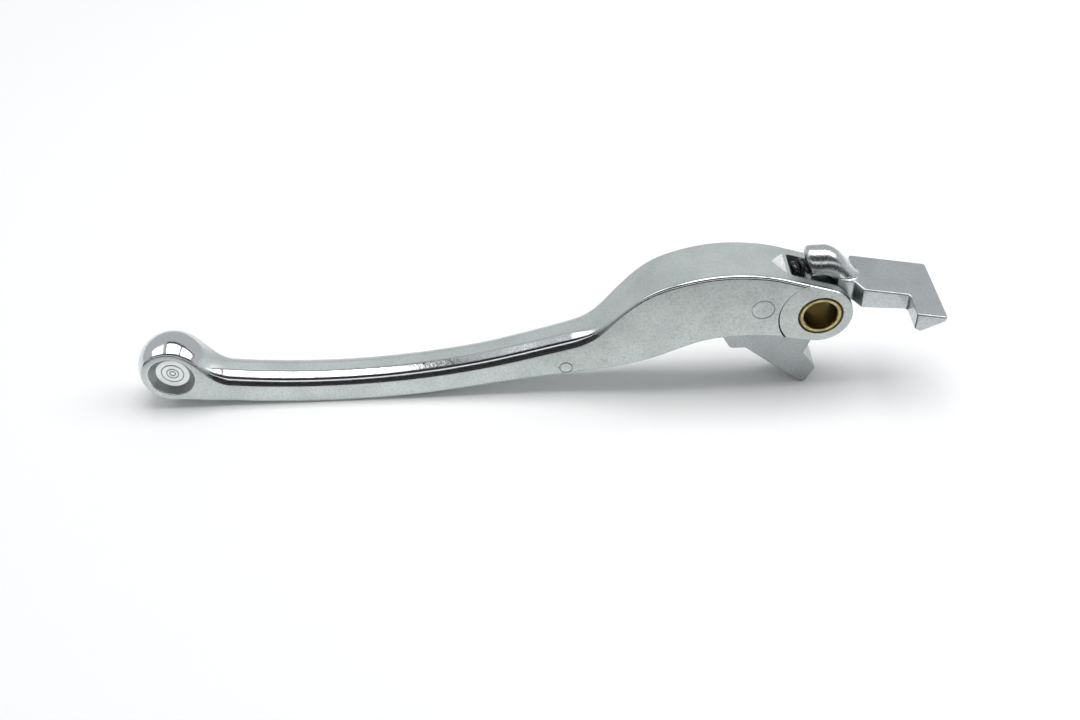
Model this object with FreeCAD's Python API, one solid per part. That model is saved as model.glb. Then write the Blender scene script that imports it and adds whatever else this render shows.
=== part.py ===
import FreeCAD
import Part
import math
import os

# Hydraulic brake lever in millimetres. The origin is on the pivot axis, half way through the lever.
# X runs from the ball end to the switch tail, Y along the pivot axis, Z away from the handgrip.
# The lever stands on the underside of its finger blade and on the tip of the arm's fin.

# Pivot
BORE_DIAMETER = 8.0
BUSH_WALL = 1.25
BUSH_CHAMFER = 0.3
BOSS_WALL = 2.65
BOSS_WIDTH = 14.6
HUB_WALL = 2.05
SPOT_MARGIN = 2.5
SPOT_DEPTH = 0.35
RUNNING_GAP = 0.05

# Finger blade: two long arcs, lowest at the same place
BALL_REACH = 161.6
LOW_POINT_REACH = 122.5
FLOOR_Z = -24.0
BLADE_HEIGHT = 8.15
BLADE_WIDTH = 9.4
BLADE_ROUND = 3.0
UNDER_ARC_RADIUS = 236.0
UPPER_ARC_RADIUS = 198.0
BLADE_START_REACH = 80.0
EDGE_ROUND = 0.5

# Where the large rounding of the blade runs out towards the bulge, and the neck into the ball
RUNOUT_REACH = 54.0
RUNOUT_LENGTH = 8.0
NECK_FILLET = 6.0
NECK_ROUND = 4.5
NECK_OVERLAP = 3.6

# Bulge between fork and blade: distance from the pivot, underside, top,
# share of the way from the blade's width to the boss's width
FORK_REACH = 12.0
FORK_UNDER_Z = -5.75
FORK_TOP_Z = 12.15
FORK_STEP = 0.03
BULGE_SECTIONS = [
    (20.0, -5.5, 13.1, 1.0),
    (28.0, -6.5, 12.75, 1.0),
    (35.0, -9.2, 11.15, 0.96),
    (42.0, -12.3, 8.0, 0.83),
    (48.0, -14.4, 2.7, 0.58),
    (54.0, -16.05, -3.1, 0.31),
    (61.0, -17.4, -6.2, 0.13),
    (69.0, -18.5, -8.4, 0.06),
]

# Ball end
BALL_RADIUS = 9.0
BALL_RISE = 7.34
BALL_FLAT = 5.0
BALL_RIM = 1.5
RECESS_RADIUS = 5.7
RECESS_FLOOR_RADIUS = 4.2
RECESS_DEPTH = 1.1
RING_RADII = (2.7, 1.4)
RING_WIDTH = 0.4
RING_DEPTH = 0.15

# Fork: slot for the arm, cavity for its stop block, index notch
SLOT_WIDTH = 8.6
SLOT_MARGIN = 0.5
SLOT_ROUND = 0.8
STOP_LEFT_X = -28.0
STOP_CEILING_Z = -2.6
STOP_CORNER_ROUND = 1.0
NOTCH_LENGTH = 3.85
NOTCH_WIDTH = 7.8
NOTCH_DEPTH = 0.75
NOTCH_RIM = 0.95

# Arm in the fork: stop block, fin, pad for the piston and the relief above it
SIDE_GAP = 0.2
STOP_GAP = 0.1
STOP_BLOCK_SLACK = 2.0
STOP_BLOCK_FOOT_X = -20.8
STOP_BLOCK_Z = -11.8
STOP_BLOCK_ROUND = 1.5
FIN_ROOT_X = -17.0
FIN_ROOT_ROUND = 1.0
FIN_TIP_X = -1.2
FIN_TIP_ROUND = 1.3
FIN_TIP_DROP = 0.71
PAD_X = 1.6
PAD_Z = -19.2
PAD_ROUND = 1.6
RELIEF_X = -2.2
RELIEF_Z = -14.3
RELIEF_ROUND = 0.8
FIN_INNER_X = 2.0

# Arm's finger over the hub, and its root: x, z, fall in degrees, half width, half thickness
FINGER_INSET = 0.2
FINGER_Z = 11.6
FINGER_TIP_X = -3.5
FINGER_TIP_TILT = 15.0
FINGER_END_X = -0.2
FINGER_RIM = 1.2
ROOT_STATIONS = [
    (2.0, 11.2, 18.0, 3.85, 3.6),
    (4.2, 9.5, 38.0, 3.7, 3.0),
    (6.8, 7.25, 42.0, 3.5, 2.4),
    (10.5, 5.0, 32.0, 3.5, 1.7),
]

# Arm's switch tail: neck, wide bar and leg
NECK_X = 4.0
NECK_TOP_Z = 8.65
NECK_UNDER_Z = 2.6
BAR_X = 9.6
BAR_GAP = 0.35
BAR_FRONT_Y = -7.0
BAR_BACK_X = 8.6
BAR_BACK_Y = 7.0
LEG_X = 20.8
LEG_FRONT_Y = -14.5
LEG_UNDER_Z = 1.0
LEG_FOOT_X = 22.2
LEG_FOOT_Z = 0.1
TAIL_END_X = 28.2
TAIL_END_Z = 3.0
TAIL_END_HEIGHT = 1.1
TAIL_ROUND = 0.9
CAST_ROUND = 0.6
CAST_FILLET = 0.8
CAST_EDGE = 0.4

# Spring between a seat sunk in the finger's end and a pocket in the lever
SEAT_X = -2.6
SEAT_Z = 10.7
SPRING_OUTER = 4.8
SPRING_WIRE = 1.2
SPRING_TURNS = 6.2
SPRING_TILT = 28.0
SPRING_LENGTH = 12.4
POCKET_GAP = 0.1

# How many rows and cross-sections carry the lever's long curves
ARC_ROW_COUNT = 6
BLADE_SECTION_COUNT = 33
NECK_SECTION_COUNT = 7

# Worked out from the sizes above
HALF_WIDTH = BOSS_WIDTH / 2
BUSH_RADIUS = BORE_DIAMETER / 2 + BUSH_WALL
BOSS_RADIUS = BUSH_RADIUS + BOSS_WALL
HUB_RADIUS = BUSH_RADIUS + HUB_WALL
SPOT_RADIUS = BOSS_RADIUS + SPOT_MARGIN
SLOT_LEFT_X = -HUB_RADIUS - SLOT_MARGIN
ARM_HALF = SLOT_WIDTH / 2 - SIDE_GAP
FINGER_RADIUS = ARM_HALF - FINGER_INSET
BAR_ROOT_X = math.sqrt((BOSS_RADIUS + BAR_GAP) ** 2 - NECK_UNDER_Z ** 2)
POCKET_RADIUS = SPRING_OUTER / 2 + POCKET_GAP
FAR = BALL_REACH


def vector(x, y, z):
    """Point or direction."""
    return FreeCAD.Vector(x, y, z)


def rounded_wire(corners, place):
    """Closed wire of straight runs and tangent arcs; a corner is (a, b, radius)."""
    edges = []
    ends = []
    count = len(corners)
    for index, (a, b, radius) in enumerate(corners):
        corner = vector(a, b, 0)
        back = vector(*corners[index - 1][:2], 0) - corner
        ahead = vector(*corners[(index + 1) % count][:2], 0) - corner
        back.normalize()
        ahead.normalize()
        half = back.getAngle(ahead) / 2
        reach = radius / math.tan(half)
        middle = back + ahead
        middle.normalize()
        apex = corner + middle * (radius / math.sin(half) - radius)
        ends.append((corner + back * reach, apex, corner + ahead * reach))
    for index, (start, apex, end) in enumerate(ends):
        previous_end = ends[index - 1][2]
        if (start - previous_end).Length > 1e-6:
            edges.append(Part.LineSegment(place(previous_end), place(start)).toShape())
        if corners[index][2] > 0:
            edges.append(Part.Arc(place(start), place(apex), place(end)).toShape())
    return Part.Wire(edges)


def side_solid(corners, front, back):
    """Outline in X and Z carried along Y from front to back."""
    wire = rounded_wire(corners, lambda p: vector(p.x, front, p.y))
    return Part.Face(wire).extrude(vector(0, back - front, 0))


def plan_solid(corners, low, high):
    """Outline in X and Y carried up from low to high."""
    wire = rounded_wire(corners, lambda p: vector(p.x, p.y, low))
    return Part.Face(wire).extrude(vector(0, 0, high - low))


def cross_cylinder(radius, front, back, x=0.0, z=0.0):
    """Cylinder parallel to the pivot axis."""
    return Part.makeCylinder(radius, back - front, vector(x, front, z), vector(0, 1, 0))


def blade_section(x, under, top, half, top_round, low_round):
    """Cross-section of the lever at x: flat sides, large roundings on top, small ones below."""
    corners = [
        (-half, under, low_round),
        (half, under, low_round),
        (half, top, top_round),
        (-half, top, top_round),
    ]
    return rounded_wire(corners, lambda p: vector(x, p.x, p.y))


def arc_height(reach, low_z, radius):
    """Height of a long arc whose lowest point is low_z."""
    return low_z + radius - math.sqrt(radius ** 2 - (reach - LOW_POINT_REACH) ** 2)


def ramp(value):
    """Smooth step from 0 to 1."""
    value = min(max(value, 0.0), 1.0)
    return value * value * (3 - 2 * value)


def section_curve():
    """Underside, top and half width of the lever as one smooth curve over the distance."""
    rows = [(FORK_REACH, FORK_UNDER_Z + FORK_STEP, FORK_TOP_Z - FORK_STEP, HALF_WIDTH - FORK_STEP)]
    for reach, under, top, share in BULGE_SECTIONS:
        half = BLADE_WIDTH / 2 + share * (HALF_WIDTH - FORK_STEP - BLADE_WIDTH / 2)
        rows.append((reach, under, top, half))
    for step in range(round(ARC_ROW_COUNT)):
        reach = BLADE_START_REACH + (BALL_REACH - BLADE_START_REACH) * step / (round(ARC_ROW_COUNT) - 1)
        under = arc_height(reach, FLOOR_Z, UNDER_ARC_RADIUS)
        top = arc_height(reach, FLOOR_Z + BLADE_HEIGHT, UPPER_ARC_RADIUS)
        rows.append((reach, under, top, BLADE_WIDTH / 2))
    curve = Part.BSplineCurve()
    curve.interpolate(Points=[vector(*row[1:]) for row in rows], Parameters=[row[0] for row in rows])
    return curve


def ball_centre():
    """Middle of the ball, at a set height over the line of the blade's underside."""
    return vector(-BALL_REACH, 0, arc_height(BALL_REACH, FLOOR_Z, UNDER_ARC_RADIUS) + BALL_RISE)


def neck_span():
    """Distance from the ball's middle to where the neck's fillet starts on the blade's top."""
    foot = arc_height(BALL_REACH - BALL_RADIUS - NECK_FILLET, FLOOR_Z + BLADE_HEIGHT, UPPER_ARC_RADIUS)
    height = foot + NECK_FILLET - ball_centre().z
    return math.sqrt((BALL_RADIUS + NECK_FILLET) ** 2 - height ** 2)


def section_reaches():
    """Distances of the cross-sections: even along the lever, closer in the neck."""
    start = BALL_REACH - neck_span()
    end = BALL_REACH - NECK_OVERLAP
    blade_steps = round(BLADE_SECTION_COUNT)
    neck_steps = round(NECK_SECTION_COUNT)
    reaches = []
    for step in range(blade_steps):
        reaches.append(FORK_REACH + (start - FORK_REACH) * step / blade_steps)
    for step in range(neck_steps + 1):
        reaches.append(start + (end - start) * step / neck_steps)
    return reaches


def lever_sections():
    """Cross-sections from the fork to the inside of the ball, with a fillet up to the ball."""
    curve = section_curve()
    span = neck_span()
    touch = NECK_FILLET * span / (BALL_RADIUS + NECK_FILLET)
    sections = []
    for reach in section_reaches():
        under, top, half = curve.value(reach)
        along = min(max(reach - BALL_REACH + span, 0.0), touch)
        top += NECK_FILLET - math.sqrt(NECK_FILLET ** 2 - along ** 2)
        blend = ramp((reach - RUNOUT_REACH) / RUNOUT_LENGTH)
        top_round = EDGE_ROUND + (BLADE_ROUND - EDGE_ROUND) * blend
        top_round += (NECK_ROUND - BLADE_ROUND) * along / touch
        low_round = EDGE_ROUND * (1 + 2 * along / touch)
        sections.append(blade_section(-reach, under, top, half, top_round, low_round))
    return sections


def tangent_point(x, z, turn):
    """Point where a line from (x, z) touches the boss circle."""
    angle = math.atan2(z, x) + turn * math.acos(BOSS_RADIUS / math.hypot(x, z))
    return vector(BOSS_RADIUS * math.cos(angle), -HALF_WIDTH, BOSS_RADIUS * math.sin(angle))


def fork_block():
    """Round boss with straight tangents back to the bulge, before the slot is cut."""
    top = vector(-FORK_REACH, -HALF_WIDTH, FORK_TOP_Z)
    under = vector(-FORK_REACH, -HALF_WIDTH, FORK_UNDER_Z)
    top_touch = tangent_point(-FORK_REACH, FORK_TOP_Z, -1)
    under_touch = tangent_point(-FORK_REACH, FORK_UNDER_Z, 1)
    edges = [
        Part.LineSegment(top, top_touch).toShape(),
        Part.Arc(top_touch, vector(BOSS_RADIUS, -HALF_WIDTH, 0), under_touch).toShape(),
        Part.LineSegment(under_touch, under).toShape(),
        Part.LineSegment(under, top).toShape(),
    ]
    block = Part.Face(Part.Wire(edges)).extrude(vector(0, BOSS_WIDTH, 0))
    rims = []
    for edge in block.Edges:
        middle = edge.valueAt((edge.FirstParameter + edge.LastParameter) / 2)
        if abs(abs(middle.y) - HALF_WIDTH) < 1e-6 and middle.x > -FORK_REACH + 1e-6:
            rims.append(edge)
    return block.makeFillet(EDGE_ROUND, rims)


def spring_axis():
    """Direction from the finger into the pocket."""
    tilt = math.radians(SPRING_TILT)
    return vector(-math.cos(tilt), 0, -math.sin(tilt))


def seat():
    """Middle of the spring's end on the finger."""
    return vector(SEAT_X, 0, SEAT_Z)


def spring_space():
    """Room for the spring, from its seat on the finger to the pocket's floor."""
    return Part.makeCylinder(POCKET_RADIUS, SPRING_LENGTH, seat(), spring_axis())


def ear_top(x):
    """Height of the ears' straight top edge."""
    touch = tangent_point(-FORK_REACH, FORK_TOP_Z, -1)
    return FORK_TOP_Z + (touch.z - FORK_TOP_Z) * (x + FORK_REACH) / (touch.x + FORK_REACH)


def index_notch():
    """Shallow three-sided notch in the top of the fork, deepest beside the spring pocket."""
    base_x = SLOT_LEFT_X - NOTCH_RIM
    tip_x = base_x - NOTCH_LENGTH
    tip = vector(tip_x, 0, ear_top(tip_x))
    near = vector(base_x, -NOTCH_WIDTH / 2, ear_top(base_x))
    far = vector(base_x, NOTCH_WIDTH / 2, ear_top(base_x))
    deep = vector(base_x, 0, ear_top(base_x) - NOTCH_DEPTH)
    faces = []
    for loop in ((tip, near, far), (tip, near, deep), (tip, far, deep), (near, far, deep)):
        faces.append(Part.Face(Part.makePolygon(list(loop) + [loop[0]])))
    return Part.Solid(Part.Shell(faces))


def ball_end():
    """Ball turned about the pivot's direction, with a flat on each side and rounded rims."""
    inner = BALL_RADIUS - BALL_RIM
    rim_y = BALL_FLAT - BALL_RIM
    rim_reach = math.sqrt(inner ** 2 - rim_y ** 2)
    half_turn = math.acos(rim_y / inner) / 2
    foot = vector(rim_reach, BALL_FLAT, 0)
    crest = vector(rim_reach + BALL_RIM * math.sin(half_turn), rim_y + BALL_RIM * math.cos(half_turn), 0)
    shoulder = vector(rim_reach, rim_y, 0) * (BALL_RADIUS / inner)
    low_foot, low_crest, low_shoulder = (vector(p.x, -p.y, 0) for p in (foot, crest, shoulder))
    edges = [
        Part.LineSegment(vector(0, BALL_FLAT, 0), foot).toShape(),
        Part.Arc(foot, crest, shoulder).toShape(),
        Part.Arc(shoulder, vector(BALL_RADIUS, 0, 0), low_shoulder).toShape(),
        Part.Arc(low_shoulder, low_crest, low_foot).toShape(),
        Part.LineSegment(low_foot, vector(0, -BALL_FLAT, 0)).toShape(),
        Part.LineSegment(vector(0, -BALL_FLAT, 0), vector(0, BALL_FLAT, 0)).toShape(),
    ]
    ball = Part.Face(Part.Wire(edges)).revolve(vector(0, 0, 0), vector(0, 1, 0), 360)
    ball.translate(ball_centre())
    return ball


def ball_recess():
    """Conical recess in the front flat, with shallow rings turned in its floor."""
    front = ball_centre() - vector(0, BALL_FLAT, 0)
    along = vector(0, 1, 0)
    recess = Part.makeCone(RECESS_RADIUS, RECESS_FLOOR_RADIUS, RECESS_DEPTH, front, along)
    for radius in RING_RADII:
        ring = Part.makeCylinder(radius, RECESS_DEPTH + RING_DEPTH, front, along)
        core = Part.makeCylinder(radius - RING_WIDTH, RECESS_DEPTH + RING_DEPTH, front, along)
        recess = recess.fuse(ring.cut(core))
    return recess


def lever_blade():
    """Cast lever: ball, finger blade, bulge and slotted fork."""
    body = Part.makeLoft(lever_sections(), True, False)
    body = body.fuse([fork_block(), ball_end()])

    half_slot = SLOT_WIDTH / 2
    slot_corners = [
        (SLOT_LEFT_X, -half_slot, SLOT_ROUND),
        (FAR, -half_slot, 0),
        (FAR, half_slot, 0),
        (SLOT_LEFT_X, half_slot, SLOT_ROUND),
    ]
    cavity_corners = [
        (STOP_LEFT_X, STOP_CEILING_Z, STOP_CORNER_ROUND),
        (STOP_LEFT_X, -FAR, 0),
        (FAR, -FAR, 0),
        (FAR, STOP_CEILING_Z, 0),
    ]
    cuts = [
        plan_solid(slot_corners, STOP_CEILING_Z - STOP_CORNER_ROUND, FAR),
        side_solid(cavity_corners, -half_slot, half_slot),
        spring_space(),
        cross_cylinder(BUSH_RADIUS, -FAR, FAR),
        cross_cylinder(SPOT_RADIUS, -FAR, SPOT_DEPTH - HALF_WIDTH),
        cross_cylinder(SPOT_RADIUS, HALF_WIDTH - SPOT_DEPTH, FAR),
        index_notch(),
        ball_recess(),
    ]
    for cut in cuts:
        body = body.cut(cut)
    return body.removeSplitter()


def arm_fin():
    """Plate of the arm in the fork: stop block, fin and the pad that meets the piston."""
    block_top = STOP_CEILING_Z - STOP_GAP
    corners = [
        (STOP_LEFT_X + STOP_BLOCK_SLACK, block_top, 0),
        (STOP_BLOCK_FOOT_X, STOP_BLOCK_Z, STOP_BLOCK_ROUND),
        (FIN_ROOT_X, STOP_BLOCK_Z, FIN_ROOT_ROUND),
        (FIN_TIP_X, FLOOR_Z - FIN_TIP_DROP, FIN_TIP_ROUND),
        (PAD_X, PAD_Z, PAD_ROUND),
        (RELIEF_X, RELIEF_Z, RELIEF_ROUND),
        (FIN_INNER_X, block_top, 0),
    ]
    plate = side_solid(corners, -ARM_HALF, ARM_HALF)
    rims = []
    for edge in plate.Edges:
        box = edge.BoundBox
        if box.YLength < 1e-6 and box.ZMin < block_top - 1e-6:
            rims.append(edge)
    return plate.makeFillet(CAST_EDGE, rims)


def finger_ellipse(x, z, fall, across, through):
    """Section of the finger's root: an ellipse square to a line that falls by so many degrees."""
    angle = math.radians(fall)
    along = vector(math.cos(angle), 0, -math.sin(angle))
    rotation = FreeCAD.Rotation(vector(0, 1, 0), along.cross(vector(0, 1, 0)), along, "XYZ")
    if across > through:
        ellipse = Part.Ellipse(vector(0, 0, 0), across, through).toShape()
    else:
        ellipse = Part.Circle(vector(0, 0, 0), vector(0, 0, 1), across).toShape()
    ellipse.Placement = FreeCAD.Placement(vector(x, 0, z), rotation)
    return Part.Wire(ellipse)


def arm_finger():
    """Round finger over the hub, with the spring's seat in its end, and its root down to the tail."""
    length = FINGER_END_X - FINGER_TIP_X + FINGER_RADIUS
    start = vector(FINGER_END_X, 0, FINGER_Z)
    tip = vector(FINGER_TIP_X, 0, FINGER_Z)
    tilt = math.radians(FINGER_TIP_TILT)
    outwards = vector(-math.cos(tilt), 0, -math.sin(tilt))
    rod = Part.makeCylinder(FINGER_RADIUS, length, start, vector(-1, 0, 0))
    rod = rod.cut(Part.makeCylinder(length, length, tip, outwards))
    rims = []
    for edge in rod.Edges:
        offsets = [abs((point - tip).dot(outwards)) for point in edge.discretize(8)]
        if max(offsets) < 1e-4:
            rims.append(edge)
    rod = rod.makeFillet(FINGER_RIM, rims)
    root = [finger_ellipse(FINGER_END_X, FINGER_Z, 0, FINGER_RADIUS, FINGER_RADIUS)]
    for station in ROOT_STATIONS:
        root.append(finger_ellipse(*station))
    return rod.fuse(Part.makeLoft(root, True, False)).cut(spring_space())


def arm_tail():
    """Neck, wide bar whose front slants clear of the ear, and L-shaped leg of the switch tail."""
    side = [
        (NECK_X, NECK_TOP_Z, 0),
        (TAIL_END_X, TAIL_END_Z + TAIL_END_HEIGHT, 0),
        (TAIL_END_X, TAIL_END_Z, 0),
        (LEG_FOOT_X, LEG_FOOT_Z, 0),
        (LEG_X, LEG_UNDER_Z, 0),
        (NECK_X, NECK_UNDER_Z, 0),
    ]
    plan = [
        (NECK_X, -ARM_HALF, 0),
        (BAR_ROOT_X, -ARM_HALF, CAST_FILLET),
        (BAR_X, BAR_FRONT_Y, CAST_ROUND),
        (LEG_X, BAR_FRONT_Y, CAST_FILLET),
        (LEG_X, LEG_FRONT_Y, CAST_ROUND),
        (TAIL_END_X, LEG_FRONT_Y, TAIL_ROUND),
        (TAIL_END_X, BAR_BACK_Y, TAIL_ROUND),
        (BAR_BACK_X, BAR_BACK_Y, CAST_ROUND),
        (BAR_BACK_X, ARM_HALF, CAST_FILLET),
        (NECK_X, ARM_HALF, 0),
    ]
    bar = side_solid(side, LEG_FRONT_Y, BAR_BACK_Y)
    bar = bar.common(plan_solid(plan, -FAR, FAR))
    rims = []
    for edge in bar.Edges:
        rises = []
        for face in bar.ancestorsOfType(edge, Part.Face):
            u_low, u_high, v_low, v_high = face.ParameterRange
            rises.append(abs(face.normalAt((u_low + u_high) / 2, (v_low + v_high) / 2).z))
        upright_to_flat = min(rises) < 1e-6 < max(rises)
        if upright_to_flat and edge.BoundBox.XMax > NECK_X + 1e-6:
            rims.append(edge)
    return bar.makeFillet(min(CAST_EDGE, 0.4 * TAIL_END_HEIGHT), rims)


def actuator_arm():
    """Cast arm that turns in the fork on the bush."""
    hub = cross_cylinder(HUB_RADIUS, -ARM_HALF, ARM_HALF)
    body = hub.fuse([arm_fin(), arm_finger(), arm_tail()])
    bore = cross_cylinder(BUSH_RADIUS + RUNNING_GAP, -FAR, FAR)
    return body.cut(bore).removeSplitter()


def pivot_bush():
    """Plain bush, flush with both spot-faced ears, chamfered inside."""
    half = HALF_WIDTH - SPOT_DEPTH
    bore = BORE_DIAMETER / 2
    points = [
        vector(bore + BUSH_CHAMFER, -half, 0),
        vector(BUSH_RADIUS, -half, 0),
        vector(BUSH_RADIUS, half, 0),
        vector(bore + BUSH_CHAMFER, half, 0),
        vector(bore, half - BUSH_CHAMFER, 0),
        vector(bore, BUSH_CHAMFER - half, 0),
    ]
    section = Part.Face(Part.makePolygon(points + [points[0]]))
    return section.revolve(vector(0, 0, 0), vector(0, 1, 0), 360)


def preload_spring():
    """Round-wire coil spring with ends ground flat, from the finger to the pocket's floor."""
    mean_radius = (SPRING_OUTER - SPRING_WIRE) / 2
    pitch = SPRING_LENGTH / SPRING_TURNS
    helix = Part.makeHelix(pitch, SPRING_LENGTH, mean_radius)
    section = Part.Wire(
        Part.Circle(vector(mean_radius, 0, 0), vector(0, 1, 0), SPRING_WIRE / 2).toShape()
    )
    coil = Part.Wire(helix).makePipeShell([section], True, True)
    window = Part.makeCylinder(SPRING_OUTER, SPRING_LENGTH)
    coil = coil.common(window)
    turn = FreeCAD.Rotation(vector(0, 0, 1), spring_axis())
    coil.Placement = FreeCAD.Placement(seat(), turn)
    return coil


def main():
    """Writes one file for each piece."""
    os.makedirs("parts", exist_ok=True)
    pieces = {
        "lever_blade": lever_blade(),
        "actuator_arm": actuator_arm(),
        "pivot_bush": pivot_bush(),
        "preload_spring": preload_spring(),
    }
    for name, shape in pieces.items():
        print(name, shape.isValid(), len(shape.Solids), round(shape.Volume, 1))
        shape.exportStep(os.path.join("parts", name + ".step"))


main()
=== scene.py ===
"""Looks of a cast hydraulic brake lever: blade, actuator arm, brass bush and spring.

Lengths are millimetres until a mesh is made. X runs from the ball end to the switch tail,
Y along the pivot axis and Z away from the handgrip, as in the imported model.
"""
import logging
import math
from collections.abc import Callable
from dataclasses import dataclass
from enum import Enum

import bmesh
import bpy
import numpy as np
from mathutils import Matrix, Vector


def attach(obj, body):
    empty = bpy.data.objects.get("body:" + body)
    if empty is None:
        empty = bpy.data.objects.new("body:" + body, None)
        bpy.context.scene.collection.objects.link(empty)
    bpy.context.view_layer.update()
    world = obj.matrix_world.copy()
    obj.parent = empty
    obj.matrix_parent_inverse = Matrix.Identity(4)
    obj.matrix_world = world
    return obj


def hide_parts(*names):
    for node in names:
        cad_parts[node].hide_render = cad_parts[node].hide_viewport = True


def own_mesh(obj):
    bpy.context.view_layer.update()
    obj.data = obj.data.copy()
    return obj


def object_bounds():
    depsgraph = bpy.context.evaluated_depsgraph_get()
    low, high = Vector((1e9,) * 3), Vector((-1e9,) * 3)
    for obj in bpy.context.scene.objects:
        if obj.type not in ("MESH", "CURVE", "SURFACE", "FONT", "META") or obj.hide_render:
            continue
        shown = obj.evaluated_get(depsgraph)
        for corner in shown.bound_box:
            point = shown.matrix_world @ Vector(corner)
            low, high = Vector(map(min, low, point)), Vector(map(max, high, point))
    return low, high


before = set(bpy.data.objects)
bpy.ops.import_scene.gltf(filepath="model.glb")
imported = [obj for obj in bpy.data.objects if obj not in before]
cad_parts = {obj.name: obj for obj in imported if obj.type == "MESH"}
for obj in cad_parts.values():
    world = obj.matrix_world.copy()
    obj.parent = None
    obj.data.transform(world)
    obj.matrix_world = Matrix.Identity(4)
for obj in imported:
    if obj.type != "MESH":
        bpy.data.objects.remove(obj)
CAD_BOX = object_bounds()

LOG = logging.getLogger("brake_lever")
MM = 0.001
POLISH = "polish"
MERGE_DISTANCE = 0.002 * MM
THIN_DISTANCE = 0.0005 * MM
FLAT_POINTS = 8
EDGE_POINTS = 33
FACET_POINTS = 800
FAR = 40.0
MIX_FIRST, MIX_SECOND, MIX_RESULT = 6, 7, 2

PolishRule = Callable[[np.ndarray], np.ndarray] | float


class Slot(Enum):
    """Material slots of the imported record."""

    CASTING = "cast_aluminium"
    ARM = "arm_aluminium"
    BUSH = "bush_brass"
    SPRING = "black_spring_steel"


class Body(Enum):
    """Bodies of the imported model."""

    LEVER = "lever"
    ARM = "arm"


def smooth_step(value: np.ndarray) -> np.ndarray:
    """Smooth ramp from 0 to 1: three squares less two cubes of the clipped value.

    Args:
        value: Where on the ramp, 0 at its start and 1 at its end.

    Returns:
        The ramp's height at each value.
    """
    clipped = np.clip(value, 0.0, 1.0)
    return clipped * clipped * (3.0 - 2.0 * clipped)


def ramp_from(value: np.ndarray, start: float, length: float) -> np.ndarray:
    """Smooth ramp from 0 to 1 that begins at a start and takes a length."""
    return smooth_step((value - start) / length)


def circle_points(radius: float, angle: np.ndarray | float) -> np.ndarray:
    """Points of a circle about the origin at the given angles."""
    return radius * np.stack([np.cos(angle), np.sin(angle)], axis=-1)


def natural_spline(knots: np.ndarray, rows: np.ndarray, at: np.ndarray) -> np.ndarray:
    """Cubic spline through rows of values, with no curvature at its two ends.

    The second derivatives solve the usual three-term system; each span is then the cubic that
    has those second derivatives and the two values at its ends.

    Args:
        knots: Places of the rows, rising, shape (n,).
        rows: Values at the knots, shape (n, k).
        at: Places to read, shape (m,).

    Returns:
        Values at the places, shape (m, k).
    """
    gap = np.diff(knots)[:, None]
    slope = np.diff(rows, axis=0) / gap
    system = np.eye(len(knots))
    inner = np.arange(1, len(knots) - 1)
    system[inner, inner - 1] = gap[:-1, 0]
    system[inner, inner] = 2.0 * (gap[:-1, 0] + gap[1:, 0])
    system[inner, inner + 1] = gap[1:, 0]
    right = np.zeros_like(rows)
    right[1:-1] = 6.0 * np.diff(slope, axis=0)
    bend = np.linalg.solve(system, right)
    span = np.clip(np.searchsorted(knots, at) - 1, 0, len(knots) - 2)
    width = gap[span]
    before = (at - knots[span])[:, None]
    after = width - before
    curved = (bend[span] * after**3 + bend[span + 1] * before**3) / (6.0 * width)
    straight_start = (rows[span] / width - bend[span] * width / 6.0) * after
    straight_end = (rows[span + 1] / width - bend[span + 1] * width / 6.0) * before
    return curved + straight_start + straight_end


def resample(path: np.ndarray, count: int) -> np.ndarray:
    """Points at even distances along a polyline.

    Args:
        path: Points of the polyline, shape (n, k).
        count: Number of points wanted.

    Returns:
        The points, shape (count, k).
    """
    steps = np.linalg.norm(np.diff(path, axis=0), axis=1)
    travelled = np.concatenate([[0.0], np.cumsum(steps)])
    wanted = np.linspace(0.0, travelled[-1], count)
    columns = [np.interp(wanted, travelled, path[:, k]) for k in range(path.shape[1])]
    return np.stack(columns, axis=1)


def side_normals(path: np.ndarray, turn: float) -> np.ndarray:
    """Unit normals of a path in a plane, from the differences of its neighbours.

    Args:
        path: Points (a, b) of the path.
        turn: 1 for the normal on the right of the direction of travel, -1 for the left.

    Returns:
        One unit normal for each point.
    """
    tangent = np.gradient(path, axis=0)
    normal = turn * np.stack([tangent[:, 1], -tangent[:, 0]], axis=1)
    return normal / np.linalg.norm(normal, axis=1, keepdims=True)


def rounded_outline(corners: list[tuple[float, float, float]], steps: int = 8) -> np.ndarray:
    """Closed outline of straight runs joined by tangent arcs.

    Each corner (a, b, radius) becomes an arc whose centre lies on the corner's bisector at the
    radius divided by the sine of half the corner's angle.

    Args:
        corners: Corners in order round the outline.
        steps: Points on each arc.

    Returns:
        Points of the outline, shape (corners x steps, 2); a sharp corner repeats its point.
    """
    table = np.array(corners, dtype=float)
    corner, radius = table[:, :2], table[:, 2:]
    back = np.roll(corner, 1, axis=0) - corner
    ahead = np.roll(corner, -1, axis=0) - corner
    back /= np.linalg.norm(back, axis=1, keepdims=True)
    ahead /= np.linalg.norm(ahead, axis=1, keepdims=True)
    half = np.arccos(np.clip((back * ahead).sum(axis=1, keepdims=True), -1, 1)) / 2.0
    middle = back + ahead
    middle /= np.linalg.norm(middle, axis=1, keepdims=True)
    centre = corner + middle * radius / np.sin(half)
    start = corner + back * radius / np.tan(half) - centre
    end = corner + ahead * radius / np.tan(half) - centre
    share = np.linspace(0.0, 1.0, steps)[None, :, None]
    sweep = (math.pi - 2.0 * half)[:, None, :]
    bend = np.where(sweep > 1e-6, np.sin(sweep), 1.0)
    arc = start[:, None] * np.sin((1 - share) * sweep) + end[:, None] * np.sin(share * sweep)
    return (centre[:, None] + arc / bend).reshape(-1, 2)


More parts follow.
